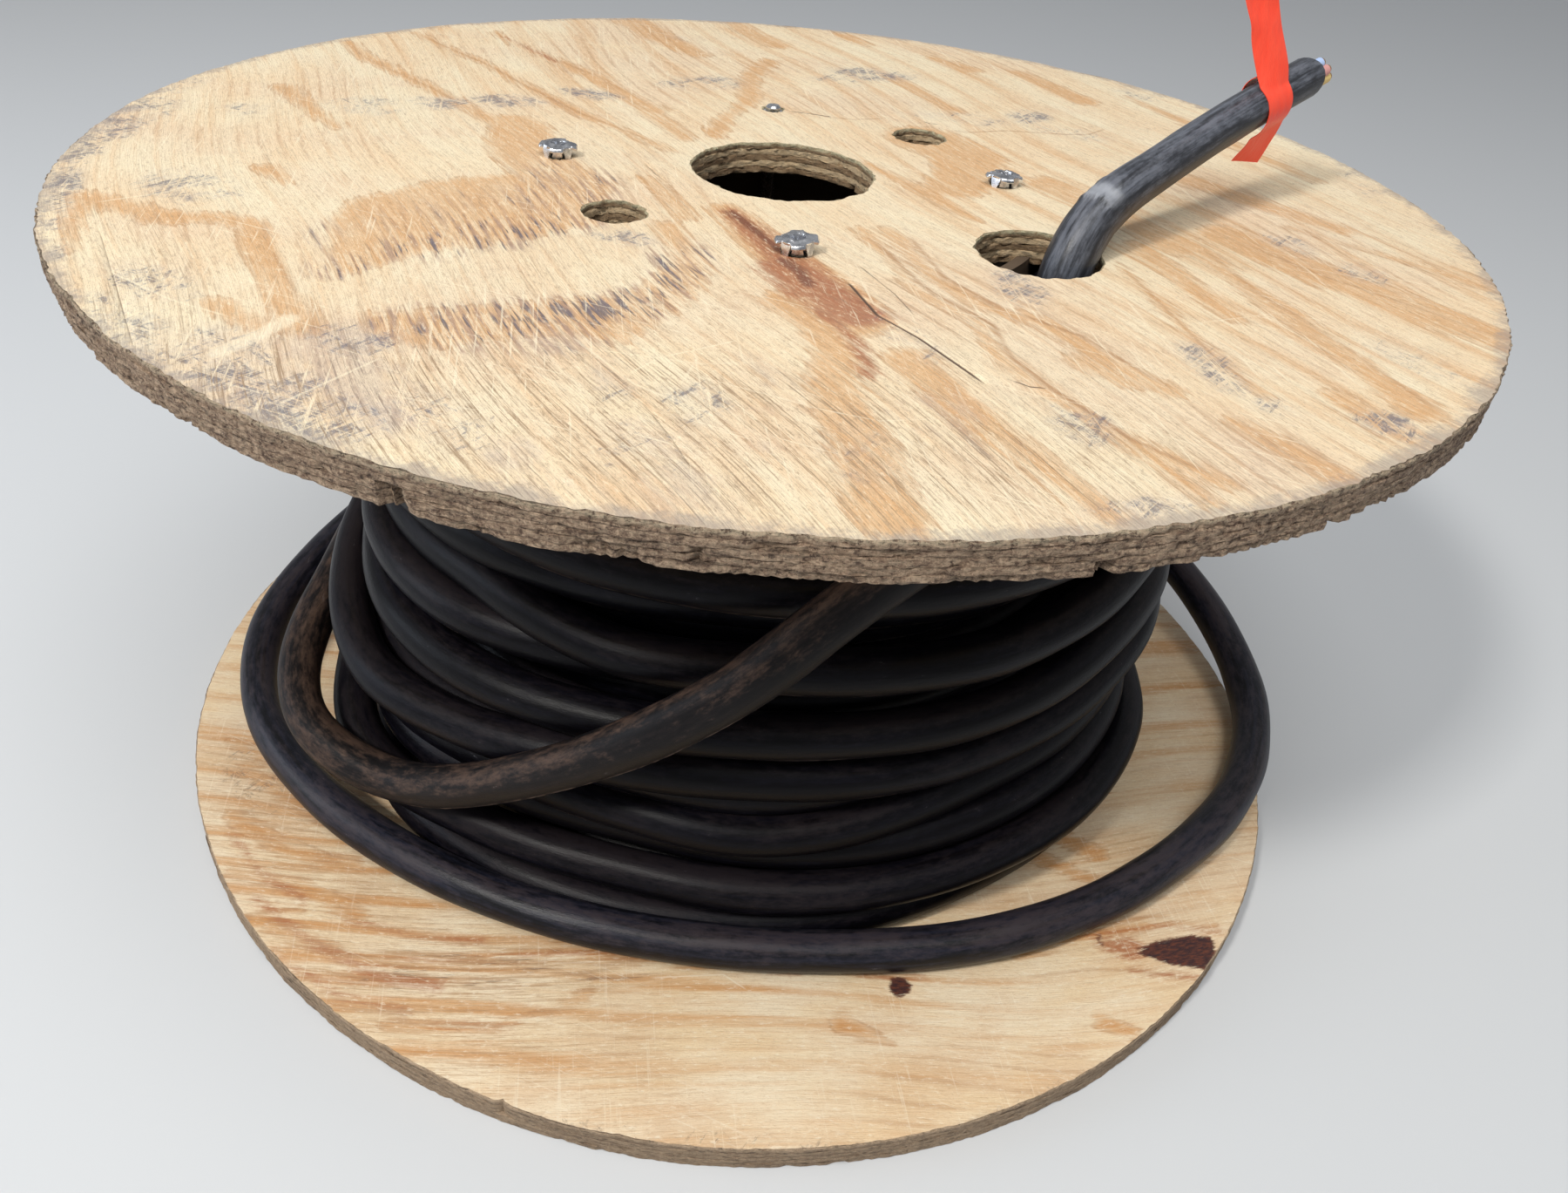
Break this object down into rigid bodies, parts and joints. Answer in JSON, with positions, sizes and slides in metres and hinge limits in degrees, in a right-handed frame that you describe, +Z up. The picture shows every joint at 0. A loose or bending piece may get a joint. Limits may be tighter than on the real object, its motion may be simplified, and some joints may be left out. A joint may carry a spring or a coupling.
{
  "type": "wooden cable drum",
  "caption": "Plywood cable drum standing on one flange, wound with thick black power cable, with two slack turns and a marked inner end.",
  "frame": {"origin": "centre of the bottom flange's outer face, on the floor that the drum stands on", "axes": "+Z up along the drum's axis, -Y towards the side that the picture shows"},
  "size_m": [0.6212, 0.6096, 0.4194],
  "materials": {
    "worn_plywood": "weathered sanded softwood plywood",
    "fresh_plywood": "clean softwood plywood",
    "barrel_board": "plain brown board",
    "cable_jacket": "matte black jacket, dusty",
    "zinc_steel": "zinc plated",
    "marker_plastic": "thin orange plastic strip"
  },
  "bodies": {
    "root": {"bottom_flange": "fresh_plywood", "top_flange": "worn_plywood", "barrel": "barrel_board", "cable_winding": "cable_jacket", "lower_loose_turn": "cable_jacket", "upper_loose_turn": "cable_jacket", "inner_cable_end": "cable_jacket", "marker_strip": "marker_plastic", "through_bolt_1": "zinc_steel", "tee_nut_1": "zinc_steel", "through_bolt_2": "zinc_steel", "tee_nut_2": "zinc_steel", "through_bolt_3": "zinc_steel", "tee_nut_3": "zinc_steel", "through_bolt_4": "zinc_steel", "tee_nut_4": "zinc_steel"}
  },
  "joints": []
}
